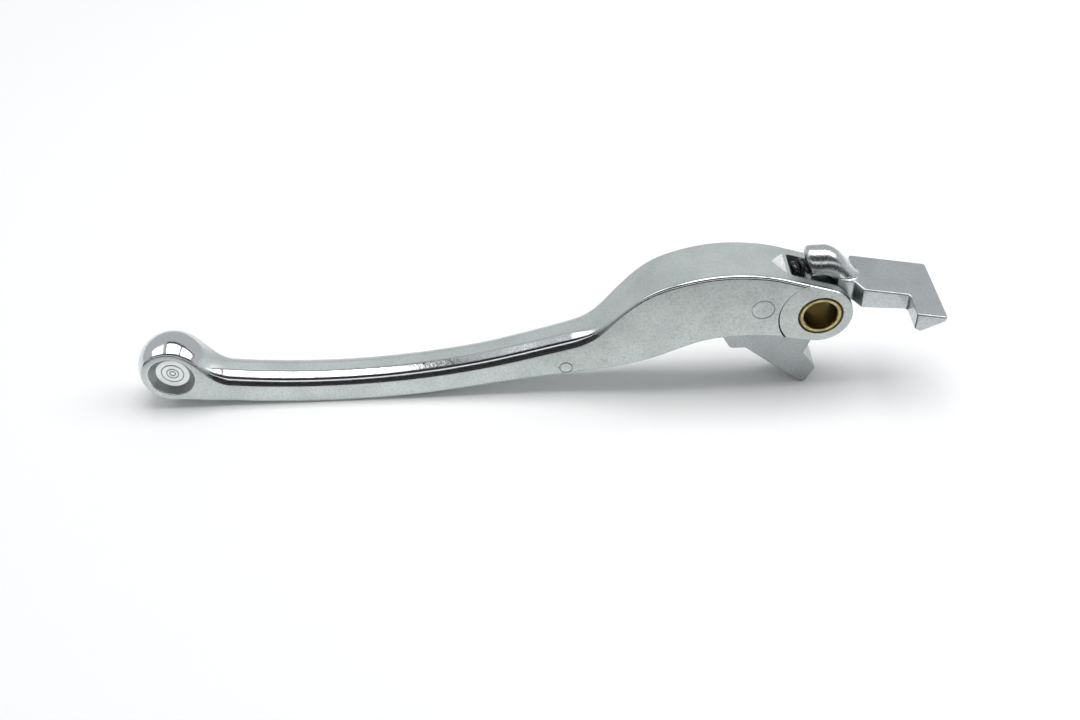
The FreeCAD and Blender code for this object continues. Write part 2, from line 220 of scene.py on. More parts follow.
def grid_faces(rows: int, columns: int) -> list[list[int]]:
    """Quads of a grid whose points are numbered row by row, each row closed into a ring.

    Args:
        rows: Number of rows.
        columns: Points in a row.

    Returns:
        Point numbers of the quads.
    """
    row = np.arange(rows - 1)[:, None]
    column = np.arange(columns)[None, :]
    following = (column + 1) % columns
    corners = [row * columns + column, (row + 1) * columns + column]
    corners += [(row + 1) * columns + following, row * columns + following]
    return np.stack(corners, axis=-1).reshape(-1, 4).tolist()


def make_mesh(
    name: str, points: np.ndarray, faces: list, polish: np.ndarray | float = 0.0
) -> bpy.types.Object:
    """Closed mesh object from points in millimetres, with doubles merged and faces outwards.

    Args:
        name: Name of the object.
        points: Points, shape (n, 3).
        faces: Lists of point numbers.
        polish: Share of polish at each point, kept at the faces' corners for the finish.

    Returns:
        The new object, at the origin.
    """
    mesh = bpy.data.meshes.new(name)
    mesh.from_pydata((points * MM).tolist(), [], faces)
    corner = np.empty(len(mesh.loops), dtype=np.int32)
    mesh.loops.foreach_get("vertex_index", corner)
    values = np.broadcast_to(np.asarray(polish, dtype=np.float32), (len(points),))
    mesh.attributes.new(POLISH, "FLOAT", "CORNER").data.foreach_set("value", values[corner])
    build = bmesh.new()
    build.from_mesh(mesh)
    bmesh.ops.remove_doubles(build, verts=build.verts, dist=MERGE_DISTANCE)
    bmesh.ops.dissolve_degenerate(build, edges=build.edges, dist=THIN_DISTANCE)
    bmesh.ops.recalc_face_normals(build, faces=build.faces)
    build.to_mesh(mesh)
    build.free()
    made = bpy.data.objects.new(name, mesh)
    bpy.context.scene.collection.objects.link(made)
    return made


def extruded(
    name: str, outline: np.ndarray, axis: int, low: float, high: float
) -> bpy.types.Object:
    """Closed outline carried along one axis.

    Args:
        name: Name of the object.
        outline: Points in the other two axes, in the axes' order.
        axis: Number of the axis, 1 for Y and 2 for Z.
        low: Place of the first end on the axis.
        high: Place of the second end.

    Returns:
        The closed mesh object.
    """
    count = len(outline)
    ends = [np.insert(outline, axis, place, axis=1) for place in (low, high)]
    faces = grid_faces(2, count)
    faces += [list(range(count)), list(range(2 * count - 1, count - 1, -1))]
    return make_mesh(name, np.concatenate(ends), faces)


def turned(
    name: str,
    profile: np.ndarray,
    origin: tuple[float, float, float] = (0.0, 0.0, 0.0),
    axis: tuple[float, float, float] = (0.0, 1.0, 0.0),
    steps: int = 96,
) -> bpy.types.Object:
    """Profile turned about an axis: each (radius, height) becomes a circle at that height.

    Args:
        name: Name of the object.
        profile: Points (radius, height), from one end to the other; a loop if it closes.
        origin: Point on the axis at height 0.
        axis: Direction of the height.
        steps: Points on each circle.

    Returns:
        The closed mesh object.
    """
    along = np.array(axis) / np.linalg.norm(axis)
    across = np.cross(along, (0.31, 0.52, 0.79))
    across /= np.linalg.norm(across)
    third = np.cross(along, across)
    angle = np.linspace(0.0, 2.0 * math.pi, steps, endpoint=False)
    circle = np.cos(angle)[:, None] * across + np.sin(angle)[:, None] * third
    rings = profile[:, 0, None, None] * circle + profile[:, 1, None, None] * along
    points = (rings + np.array(origin)).reshape(-1, 3)
    return make_mesh(name, points, grid_faces(len(profile), steps))


def cut_away(
    target: bpy.types.Object, tool: bpy.types.Object, polish: PolishRule = 0.0
) -> None:
    """Takes one closed mesh from another by a Boolean and removes it.

    The tool's faces carry a second material number through the cut, so that the faces which they
    leave can be found and polished.

    Args:
        target: Object that keeps the result.
        tool: Object that cuts it.
        polish: Share of polish of the faces that the tool leaves, or its function of their place.
    """
    mark = np.ones(len(tool.data.polygons), dtype=np.int32)
    tool.data.polygons.foreach_set("material_index", mark)
    modifier = target.modifiers.new("cut", "BOOLEAN")
    modifier.operation = "DIFFERENCE"
    modifier.solver = "EXACT"
    modifier.object = tool
    graph = bpy.context.evaluated_depsgraph_get()
    result = bpy.data.meshes.new_from_object(target.evaluated_get(graph))
    target.modifiers.clear()
    target.data = result
    bpy.data.objects.remove(tool)
    table = FaceTable(result)
    made = table.read("material_index", 1, np.int32)[:, 0]
    table.set_polish(made > 0, polish)
    result.polygons.foreach_set("material_index", np.zeros_like(made))


def merged_copy(node: str, name: str) -> bpy.types.Object:
    """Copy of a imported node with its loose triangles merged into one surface.

    Args:
        node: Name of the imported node.
        name: Name of the copy.

    Returns:
        The new object.
    """
    made = bpy.data.objects.new(name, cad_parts[node].data.copy())
    bpy.context.scene.collection.objects.link(made)
    build = bmesh.new()
    build.from_mesh(made.data)
    bmesh.ops.remove_doubles(build, verts=build.verts, dist=MERGE_DISTANCE)
    build.to_mesh(made.data)
    build.free()
    return made


@dataclass
class FaceTable:
    """Middles, normals and corner values of a mesh's faces, to set polish face by face."""

    mesh: bpy.types.Mesh

    def read(self, field_name: str, width: int, kind: type = np.float32) -> np.ndarray:
        """Reads one value of every face.

        Args:
            field_name: Name of the value.
            width: Numbers in one value.
            kind: Type of the numbers.

        Returns:
            The values, shape (faces, width).
        """
        values = np.empty(len(self.mesh.polygons) * width, dtype=kind)
        self.mesh.polygons.foreach_get(field_name, values)
        return values.reshape(-1, width)

    def corner_places(self) -> np.ndarray:
        """Reads where the faces' corners are.

        Returns:
            Places in millimetres, shape (corners, 3).
        """
        corner = np.empty(len(self.mesh.loops), dtype=np.int32)
        self.mesh.loops.foreach_get("vertex_index", corner)
        place = np.empty(len(self.mesh.vertices) * 3, dtype=np.float32)
        self.mesh.vertices.foreach_get("co", place)
        return place.reshape(-1, 3)[corner] / MM

    def polish(self) -> np.ndarray:
        """Reads the polish at the faces' corners.

        Returns:
            Share of polish at each corner, 0 where none is kept yet.
        """
        values = np.zeros(len(self.mesh.loops), dtype=np.float32)
        if POLISH in self.mesh.attributes:
            self.mesh.attributes[POLISH].data.foreach_get("value", values)
        return values

    def set_polish(self, where: np.ndarray, share: PolishRule) -> None:
        """Sets the polish of chosen faces and keeps that of the others.

        Args:
            where: Which faces are set.
            share: Their share of polish, or its function of the corners' places.
        """
        chosen = np.repeat(where, self.read("loop_total", 1, np.int32)[:, 0])
        values = self.polish()
        values[chosen] = share(self.corner_places()[chosen]) if callable(share) else share
        if POLISH not in self.mesh.attributes:
            self.mesh.attributes.new(POLISH, "FLOAT", "CORNER")
        self.mesh.attributes[POLISH].data.foreach_set("value", values)


def dress(
    piece: bpy.types.Object,
    material: bpy.types.Material,
    body: Body,
    node: str,
    sharp_degrees: float = 32.0,
) -> None:
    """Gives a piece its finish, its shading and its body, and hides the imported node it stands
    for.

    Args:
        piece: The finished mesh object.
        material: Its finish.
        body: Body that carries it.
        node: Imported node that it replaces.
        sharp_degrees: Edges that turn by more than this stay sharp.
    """
    mesh = piece.data
    mesh.materials.clear()
    mesh.materials.append(material)
    mesh.shade_smooth()
    mesh.set_sharp_from_angle(angle=math.radians(sharp_degrees))
    even = piece.modifiers.new("even_normals", "WEIGHTED_NORMAL")
    even.keep_sharp = True
    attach(piece, body.value)
    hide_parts(node)
    LOG.info("%s: %d faces", piece.name, len(mesh.polygons))


class NodeSheet:
    """Small helper that adds and links the nodes of one material."""

    def __init__(self, name: str) -> None:
        """Starts a material with one Principled shader.

        Args:
            name: Name of the material.
        """
        self.material = bpy.data.materials.new(name)
        self.material.use_nodes = True
        self.tree = self.material.node_tree
        self.shader = self.tree.nodes["Principled BSDF"]
        self.place = self.tree.nodes.new("ShaderNodeTexCoord").outputs["Object"]

    def set(self, **values: float | tuple) -> None:
        """Sets uniform values on the shader's own sockets, named with underscores."""
        for key, value in values.items():
            self.shader.inputs[key.replace("_", " ")].default_value = value

    def add(self, kind: str, inputs: dict, **settings: object) -> bpy.types.Node:
        """Adds a node, sets its options and fills its inputs.

        Args:
            kind: Type of the node, without its prefix.
            inputs: Input name or number to value or output socket.
            settings: Options of the node.

        Returns:
            The node.
        """
        node = self.tree.nodes.new("ShaderNode" + kind)
        for key, value in settings.items():
            setattr(node, key, value)
        for key, value in inputs.items():
            if isinstance(value, bpy.types.NodeSocket):
                self.tree.links.new(value, node.inputs[key])
            else:
                node.inputs[key].default_value = value
        return node

    def noise(
        self, scale: float, detail: float = 3.0, roughness: float = 0.55
    ) -> bpy.types.NodeSocket:
        """Noise on Object coordinates, with scale in features a metre."""
        inputs = {"Vector": self.place, "Scale": scale, "Detail": detail, "Roughness": roughness}
        return self.add("TexNoise", inputs).outputs["Fac"]

    def ramp(
        self, value: bpy.types.NodeSocket, low: float, high: float, start: float, end: float
    ) -> bpy.types.NodeSocket:
        """Smooth map of a value from the range low to high onto start to end."""
        inputs = {"Value": value, "From Min": low, "From Max": high, "To Min": start, "To Max": end}
        return self.add("MapRange", inputs, interpolation_type="SMOOTHSTEP").outputs["Result"]

    def math(self, operation: str, first: object, second: object = 0.0) -> bpy.types.NodeSocket:
        """One arithmetic step on two values."""
        return self.add("Math", {0: first, 1: second}, operation=operation).outputs["Value"]

    def mix(self, share: object, first: object, second: object) -> bpy.types.NodeSocket:
        """Colour between two colours, by the share of the second."""
        inputs = {"Factor": share, MIX_FIRST: first, MIX_SECOND: second}
        return self.add("Mix", inputs, data_type="RGBA").outputs[MIX_RESULT]

    def bump(
        self, height: object, distance: float, strength: object = 1.0, under: object = None
    ) -> bpy.types.NodeSocket:
        """Bump on top of another bump, if one is given.

        Args:
            height: Socket of the height, from 0 to 1.
            distance: Depth of the bump in metres.
            strength: Share of it, a value or a socket.
            under: Normal of the bump beneath.

        Returns:
            The normal's socket.
        """
        inputs = {"Height": height, "Distance": distance, "Strength": strength}
        if under is not None:
            inputs["Normal"] = under
        return self.add("Bump", inputs).outputs["Normal"]

    def link(self, socket: bpy.types.NodeSocket, target: str) -> None:
        """Links an output to an input of the shader."""
        self.tree.links.new(socket, self.shader.inputs[target])


@dataclass(frozen=True)
class TumbledAluminium:
    """Tumbled casting: fine grain and dark pits, with polish from an attribute.

    The attribute is 0 where the metal is tumbled, 1 where it is buffed, 2 where it is painted pale
    and matte as a painted highlight, and below 0 where it is painted dark as painted shade.
    """

    name: str
    light: tuple = (0.675, 0.735, 0.715, 1.0)
    dark: tuple = (0.6, 0.65, 0.635, 1.0)
    polished: tuple = (0.66, 0.685, 0.695, 1.0)
    painted_highlight: tuple = (0.97, 0.98, 0.98, 1.0)
    pit: tuple = (0.2, 0.215, 0.22, 1.0)
    painted_shade: tuple = (0.05, 0.052, 0.055, 1.0)
    mottle: float = 0.3
    matte_roughness: float = 0.44
    polished_roughness: float = 0.1
    cloud_scale: float = 110.0
    grain_scale: float = 1700.0
    speckle_scale: float = 1900.0
    grain_depth: float = 0.00007
    pit_depth: float = 0.00008
    cloud_depth: float = 0.0004

    def make(self) -> bpy.types.Material:
        """Builds the finish.

        Returns:
            The material.
        """
        sheet = NodeSheet(self.name)
        sheet.set(Metallic=1.0)
        share = sheet.add("Attribute", {}, attribute_name=POLISH).outputs["Fac"]
        away = sheet.math("ABSOLUTE", sheet.math("SUBTRACT", share, 1.0))
        polish = sheet.math("MAXIMUM", sheet.math("SUBTRACT", 1.0, away), 0.0)
        # Painted highlight: polish above 1 mixes in a near-white matte tone.
        highlight_share = sheet.math("MAXIMUM", sheet.math("SUBTRACT", share, 1.0), 0.0)
        # Painted shade: polish below 0 mixes in a near-black tone.
        stain_and_shade = sheet.math("MAXIMUM", sheet.math("MULTIPLY", share, -1.0), 0.0)
        matte = sheet.math("SUBTRACT", 1.0, polish)
        cloud = sheet.noise(self.cloud_scale, 5.0, 0.6)
        grain = sheet.noise(self.grain_scale, 4.0, 0.7)
        speckle = sheet.noise(self.speckle_scale, 2.0, 0.5)
        pits = sheet.math("MULTIPLY", sheet.ramp(speckle, 0.7, 0.76, 0.0, 0.7), matte)
        tone = sheet.mix(sheet.ramp(cloud, 0.35, 0.65, 0.0, 1.0), self.dark, self.light)
        mottle = sheet.math("MULTIPLY", sheet.ramp(grain, 0.4, 0.72, 0.0, self.mottle), matte)
        tone = sheet.mix(mottle, tone, self.pit)
        tone = sheet.mix(polish, tone, self.polished)
        # Painted highlight, then painted shade, laid over the metal's own tone.
        tone = sheet.mix(highlight_share, tone, self.painted_highlight)
        tone = sheet.mix(stain_and_shade, tone, self.painted_shade)
        sheet.link(sheet.mix(pits, tone, self.pit), "Base Color")
        rough = sheet.ramp(polish, 0.0, 1.0, self.matte_roughness, self.polished_roughness)
        rough = sheet.math("ADD", rough, sheet.ramp(grain, 0.3, 0.7, -0.03, 0.06))
        sheet.link(rough, "Roughness")
        fine = sheet.bump(grain, self.grain_depth, sheet.ramp(matte, 0.0, 1.0, 0.04, 0.55))
        sunk = sheet.bump(sheet.math("MULTIPLY", pits, -1.0), self.pit_depth, 0.6, fine)
        sheet.link(sheet.bump(cloud, self.cloud_depth, 0.12, sunk), "Normal")
        return sheet.material


@dataclass(frozen=True)
class TurnedBrass:
    """Turned brass with random brown stains, and painted shade down the bore and at its outer edge.
    """

    name: str
    bright: tuple = (0.5, 0.43, 0.21, 1.0)
    brown_tone_and_shade: tuple = (0.13, 0.092, 0.024, 1.0)
    bore: float = 4.35
    bore_blend: float = 0.2
    edge: float = 4.9
    edge_blend: float = 0.1
    turning_scale: float = 900.0
    turning_depth: float = 0.00002

    def make(self) -> bpy.types.Material:
        """Builds the finish.

        Returns:
            The material.
        """
        sheet = NodeSheet(self.name)
        sheet.set(Metallic=1.0)
        parts = sheet.add("SeparateXYZ", {0: sheet.place}).outputs
        flat = sheet.add("CombineXYZ", {0: parts["X"], 2: parts["Z"]}).outputs[0]
        reach = sheet.add("VectorMath", {0: flat}, operation="LENGTH").outputs["Value"]
        # Painted shade down the bore.
        inside = sheet.ramp(reach, (self.bore - self.bore_blend) * MM, self.bore * MM, 1.0, 0.0)
        stain_and_shade = sheet.ramp(sheet.noise(700.0, 3.0), 0.35, 0.7, 0.0, 0.5)
        tone = sheet.mix(stain_and_shade, self.bright, self.brown_tone_and_shade)
        # Painted shade at the outer edge, in the gap against the ears.
        low, high = self.edge - self.edge_blend, self.edge + self.edge_blend
        outside = sheet.ramp(reach, low * MM, high * MM, 0.0, 1.0)
        dark = sheet.math("MAXIMUM", inside, outside)
        sheet.link(sheet.mix(dark, tone, self.brown_tone_and_shade), "Base Color")
        turning = sheet.add(
            "TexWave",
            {"Vector": sheet.place, "Scale": self.turning_scale, "Distortion": 1.5, "Detail": 2.0},
            wave_type="BANDS",
            bands_direction="Y",
        ).outputs["Fac"]
        sheet.link(sheet.ramp(turning, 0.0, 1.0, 0.2, 0.36), "Roughness")
        sheet.link(sheet.bump(turning, self.turning_depth, 0.15), "Normal")
        return sheet.material


@dataclass(frozen=True)
class BlackWire:
    """Blackened spring steel with an oily gloss."""

    name: str
    black: tuple = (0.02, 0.02, 0.022, 1.0)
    worn: tuple = (0.11, 0.11, 0.115, 1.0)
    stain_scale: float = 1500.0
    stain_depth: float = 0.00003

    def make(self) -> bpy.types.Material:
        """Builds the finish.

        Returns:
            The material.
        """
        sheet = NodeSheet(self.name)
        sheet.set(Metallic=0.6)
        stain_and_shade = sheet.noise(self.stain_scale, 3.0)
        wear = sheet.ramp(stain_and_shade, 0.4, 0.7, 0.0, 1.0)
        sheet.link(sheet.mix(wear, self.black, self.worn), "Base Color")
        sheet.link(sheet.ramp(stain_and_shade, 0.3, 0.7, 0.18, 0.36), "Roughness")
        sheet.link(sheet.bump(stain_and_shade, self.stain_depth, 0.4), "Normal")
        return sheet.material


@dataclass
class Pivot:
    """Sizes round the pivot that several pieces share."""

    bore: float = 8.0
    bush_wall: float = 1.25
    boss_wall: float = 2.65
    boss_width: float = 14.6
    spot_margin: float = 2.5
    spot_depth: float = 0.35
    hub_wall: float = 2.05

    @property
    def bush_radius(self) -> float:
        """Outside of the bush."""
        return self.bore / 2 + self.bush_wall

    @property
    def boss_radius(self) -> float:
        """Round end of the ears."""
        return self.bush_radius + self.boss_wall

    @property
    def ear_face(self) -> float:
        """Distance of the spot-faced ears from the middle."""
        return self.boss_width / 2 - self.spot_depth


@dataclass
class PreloadSpring:
    """Coil spring between the arm's finger and the pocket in the blade."""

    seat_x: float = -2.6
    seat_z: float = 10.7
    tilt: float = 28.0
    length: float = 12.4
    outer: float = 4.8
    wire: float = 1.2
    turns: float = 6.2
    travel: float = 2.8
    pocket_gap: float = 0.1
    end_gap: float = 0.05
    stations: int = 300
    round_steps: int = 16
    sharp_degrees: float = 50.0

    @property
    def axis(self) -> np.ndarray:
        """Direction from the finger into the pocket."""
        tilt = math.radians(self.tilt)
        return np.array([-math.cos(tilt), 0.0, -math.sin(tilt)])

    @property
    def seat(self) -> np.ndarray:
        """Middle of the end on the finger."""
        return np.array([self.seat_x, 0.0, self.seat_z])

    def build(self) -> bpy.types.Object:
        """Round wire along a helix, its ends ground flat by clipping the height.

        A point is the helix's point plus the wire's radius times a circle in the plane of the
        outward direction and the axis.

        Returns:
            The spring's mesh object.
        """
        turn = np.linspace(0.0, 2.0 * math.pi * self.turns, self.stations)[:, None]
        around = np.linspace(0.0, 2.0 * math.pi, self.round_steps, endpoint=False)[None, :]
        reach = (self.outer - self.wire) / 2 + self.wire / 2 * np.cos(around)
        height = self.length * turn / turn[-1] + self.wire / 2 * np.sin(around)
        height = np.clip(height, self.end_gap, self.length - self.end_gap)
        side = np.array([0.0, 1.0, 0.0])
        third = np.cross(self.axis, side)
        sideways, upwards = reach * np.cos(turn), reach * np.sin(turn)
        points = sideways[..., None] * side + upwards[..., None] * third
        points = points + height[..., None] * self.axis + self.seat
        faces = grid_faces(self.stations, self.round_steps)
        last = (self.stations - 1) * self.round_steps
        faces.append(list(range(self.round_steps - 1, -1, -1)))
        faces.append(list(range(last, last + self.round_steps)))
        return make_mesh("preload_coil", points.reshape(-1, 3), faces)

    def dress(self, piece: bpy.types.Object) -> None:
        """Blackens the spring and gives it a mesh of its own.

        Args:
            piece: The spring's mesh object.
        """
        finish = BlackWire("black_wire").make()
        dress(piece, finish, Body.LEVER, "preload_spring", self.sharp_degrees)
        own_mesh(piece)


@dataclass
class LeverBlade:
    """Cast lever: outlines of its top and underside with a cross-profile that varies along it.

    A row of bulge is a distance from the pivot, the underside, the top and the share of the fork's
    extra width. A row of pin_marks is a distance, a height, a radius and the painted shade in its
    groove. A ramp is the start and the length of a smooth change over the progress round neck and
    ball.
    """

    pivot: Pivot
    spring: PreloadSpring
    fork_reach: float = 12.0
    fork_under: float = -5.75
    fork_top: float = 12.15
    bulge: tuple = (
        (20.0, -5.5, 13.1, 1.0),
        (28.0, -6.5, 12.75, 1.0),
        (35.0, -9.2, 11.15, 0.96),
        (42.0, -12.3, 8.0, 0.83),
        (48.0, -14.4, 2.7, 0.58),
        (54.0, -16.05, -3.1, 0.31),
        (61.0, -17.4, -6.2, 0.13),
        (69.0, -18.5, -8.4, 0.06),
    )
    blade_start: float = 80.0
    blade_knots: int = 6
    low_point: float = 122.5
    floor: float = -24.0
    height: float = 8.15
    width: float = 9.4
    under_arc: float = 236.0
    upper_arc: float = 198.0
    edge_round: float = 0.8
    blade_under_round: float = 1.1
    facet_lengths: tuple = (0.35, 2.1, 0.45, 1.75, 0.3)
    facet_angles: tuple = (90.0, 77.0, 57.0, 32.0, 14.0, 0.0)
    runout_reach: float = 48.0
    runout_length: float = 13.0
    boss_steps: int = 36
    fork_steps: int = 26
    bulge_steps: int = 250
    ball_steps: int = 130
    side_steps: int = 13
    neck_points: tuple = (40, 120, 60, 90)
    facet_ramp: tuple = (0.07, 0.15)
    ball_ramp: tuple = (0.03, 0.25)
    under_ramp: tuple = (0.0, 0.5)
    neck_round: float = 3.0
    neck_ease: float = 0.5
    neck_in: float = 0.1
    neck_end: float = 0.5
    neck_out: float = 0.15
    fork_blend: float = 2.5
    fork_ease: float = 0.1
    smooth_passes: int = 120
    back_polish: float = 0.3
    top_polish: float = 0.15
    round_polish: float = 0.7
    dull_reach: float = 50.0
    dull_length: float = 5.0
    dull_share: float = 0.9
    ball_low_polish: float = 0.25
    ball_buffed_points: float = 22.0
    ball_fade_points: float = 12.0
    buff_ramp: tuple = (0.16, 0.2)
    neck_polish: float = 0.12
    ball_reach: float = 161.6
    ball_radius: float = 9.0
    ball_rise: float = 7.34
    ball_flat: float = 5.0
    ball_rim: float = 0.8
    neck_fillet: float = 6.0
    recess_radius: float = 5.7
    recess_floor: float = 4.2
    recess_depth: float = 1.7
    recess_lip: float = 0.35
    recess_rings: tuple = (2.75, 1.45, 0.7)
    recess_front: float = 2.0
    ring_width: float = 0.14
    ring_depth: float = 0.05
    floor_highlight: float = 1.6
    ring_shade: float = 2.6
    lip_polish: float = 0.8
    cone_shade: float = -0.5
    lip_margin: float = 0.01
    floor_margin: float = 0.02
    slot_width: float = 8.6
    slot_margin: float = 0.5
    slot_round: float = 0.8
    slot_overlap: float = 1.0
    stop_left: float = -28.0
    stop_ceiling: float = -2.6
    stop_round: float = 1.0
    groove_width: float = 0.4
    groove_shades: tuple = (0.0, -1.0, -0.8)
    mouth_chamfer: float = 0.3
    bore_mouth_shade: float = -0.85
    notch_length: float = 3.85
    notch_width: float = 7.8
    notch_depth: float = 0.75
    notch_rim: float = 0.95
    notch_lift: float = 0.3
    notch_highlight: float = 2.0
    pin_marks: tuple = ((62.2, -15.2, 1.6, -0.7), (14.3, 2.9, 2.7, -0.2))
    mark_width: float = 0.15

    def arc(self, reach: np.ndarray, low: float, radius: float) -> np.ndarray:
        """Height of a long arc whose lowest point is at low."""
        return low + radius - np.sqrt(radius**2 - (reach - self.low_point) ** 2)

    def under_at(self, reach: np.ndarray) -> np.ndarray:
        """Underside of the finger blade."""
        return self.arc(reach, self.floor, self.under_arc)

    def top_at(self, reach: np.ndarray) -> np.ndarray:
        """Top of the finger blade."""
        return self.arc(reach, self.floor + self.height, self.upper_arc)

    @property
    def ball_centre(self) -> np.ndarray:
        """Middle of the ball in X and Z."""
        return np.array([-self.ball_reach, float(self.under_at(self.ball_reach)) + self.ball_rise])

    @property
    def slot_left(self) -> float:
        """Closed end of the fork's slot, clear of the arm's hub."""
        return -self.pivot.bush_radius - self.pivot.hub_wall - self.slot_margin

    @property
    def spot_radius(self) -> float:
        """Radius of the spot-faces."""
        return self.pivot.boss_radius + self.pivot.spot_margin

    @property
    def neck_span(self) -> float:
        """Distance along X between the start of the neck's fillet and the ball's middle.

        Returns:
            The base of the triangle of the fillet's and the ball's middles.
        """
        foot = float(self.top_at(self.ball_reach - self.ball_radius - self.neck_fillet))
        rise = foot + self.neck_fillet - self.ball_centre[1]
        return math.sqrt((self.ball_radius + self.neck_fillet) ** 2 - rise**2)

    def bulge_rows(self, reach: np.ndarray) -> np.ndarray:
        """Underside, top and half width between fork and neck, by a spline over the distance.

        Args:
            reach: Distances from the pivot.

        Returns:
            Rows of underside, top and half width.
        """
        boss, blade = self.pivot.boss_width / 2, self.width / 2
        rows = [(self.fork_reach, self.fork_under, self.fork_top, boss)]
        rows += [(r, u, t, blade + share * (boss - blade)) for r, u, t, share in self.bulge]
        arcs = np.linspace(self.blade_start, self.ball_reach, self.blade_knots)
        half = np.full(self.blade_knots, blade)
        tail = np.column_stack([arcs, self.under_at(arcs), self.top_at(arcs), half])
        table = np.concatenate([np.array(rows), tail])
        return natural_spline(table[:, 0], table[:, 1:], reach)

    def touch_angle(self, height: float, turn: float) -> float:
        """Angle on the boss where the straight edge of the ears touches it."""
        away = math.acos(self.pivot.boss_radius / math.hypot(self.fork_reach, height))
        return math.atan2(height, -self.fork_reach) + turn * away

    def ear_edge(self, height: float, turn: float) -> np.ndarray:
        """Edge of the ears: an arc of the boss from its tip, then the straight tangent.

        Args:
            height: Height of the edge where the ears meet the bulge.
            turn: -1 for the top and 1 for the underside.

        Returns:
            Points (x, z).
        """
        angle, radius = self.touch_angle(height, turn), self.pivot.boss_radius
        fan, share = (np.arange(n) / n for n in (self.boss_steps, self.fork_steps))
        touch = circle_points(radius, angle)
        tangent = touch + (np.array([-self.fork_reach, height]) - touch) * share[:, None]
        return np.concatenate([circle_points(radius, angle * fan), tangent])

    def neck_above(self) -> np.ndarray:
        """Top from the neck to the ball's tip: a fillet that ends on the ball, then the ball.

        Returns:
            Points (x, z) at even distances.
        """
        fillet, span, centre = self.neck_fillet, self.neck_span, self.ball_centre
        neck = self.ball_reach - span
        along = np.linspace(0.0, fillet * span / (self.ball_radius + fillet), self.neck_points[0])
        rise = self.top_at(neck + along) + fillet - np.sqrt(fillet**2 - along**2)
        touch = math.atan2(rise[-1] - centre[1], span - along[-1])
        angle = np.linspace(touch, math.pi, self.neck_points[1])
        ball = centre + circle_points(self.ball_radius, angle)
        path = np.concatenate([np.column_stack([-(neck + along), rise]), ball[1:]])
        return resample(path, self.ball_steps)

    def neck_below(self) -> np.ndarray:
        """Underside from the neck to the ball's tip: a flat curve, then the ball.

        Returns:
            Points (x, z) at even distances.
        """
        span, centre = self.neck_span, self.ball_centre
        neck = self.ball_reach - span
        ease = np.linspace(0.0, 1.0, self.neck_points[2])
        start, end = float(self.under_at(neck)), centre[1] - self.ball_radius
        dip = start + (end - start) * smooth_step(ease)
        angle = np.linspace(1.5 * math.pi, math.pi, self.neck_points[3])
        ball = centre + circle_points(self.ball_radius, angle)
        path = np.concatenate([np.column_stack([-(neck + span * ease), dip]), ball[1:]])
        return resample(path, self.ball_steps)

    def outlines(self) -> dict[str, np.ndarray]:
        """Matched stations of the top and the underside, from the boss's tip to the ball's tip.

        Each row joins three stretches: the ears, the splined bulge with the two long arcs of the
        blade, and the neck with the ball.

        Returns:
            Arrays top, under (x, z), half width, share of the facet, progress round the neck and
            ball, and share of ball above and below.
        """
        neck = self.ball_reach - self.neck_span
        reach = np.linspace(self.fork_reach, neck, self.bulge_steps, endpoint=False)
        under, top, half = self.bulge_rows(reach).T
        ears, blade = np.zeros(self.boss_steps + self.fork_steps), np.zeros(self.bulge_steps)
        progress = np.linspace(0.0, 1.0, self.ball_steps)
        runout = ramp_from(reach, self.runout_reach, self.runout_length)
        above = (self.ear_edge(self.fork_top, -1.0), np.column_stack([-reach, top]))
        below = (self.ear_edge(self.fork_under, 1.0), np.column_stack([-reach, under]))
        rows = {
            "top": (*above, self.neck_above()),
            "under": (*below, self.neck_below()),
            "half": (ears + self.pivot.boss_width / 2, half, 0.0 * progress + self.width / 2),
            "facet": (ears, runout, 1.0 - ramp_from(progress, *self.facet_ramp)),
            "neck": (ears, blade, progress),
            "ball_top": (ears, blade, ramp_from(progress, *self.ball_ramp)),
            "ball_under": (ears, blade, ramp_from(progress, *self.under_ramp)),
        }
        return {name: np.concatenate(stretches) for name, stretches in rows.items()}

    def facet_curve(self) -> np.ndarray:
        """Front edge of the blade: a crease, a long polished facet, a bend and a steep lower band.

        The direction of the normal falls in linear stretches; each step adds its sine to the
        width and its cosine to the inset.

        Returns:
            Points (width, inset) from the flat top to the side face.
        """
        length = np.cumsum([0.0, *self.facet_lengths])
        fine = np.linspace(0.0, length[-1], FACET_POINTS)
        angle = np.radians(np.interp(fine, length, self.facet_angles))
        step = fine[1] - fine[0]
        return np.cumsum(np.column_stack([np.sin(angle), np.cos(angle)]) * step, axis=0)

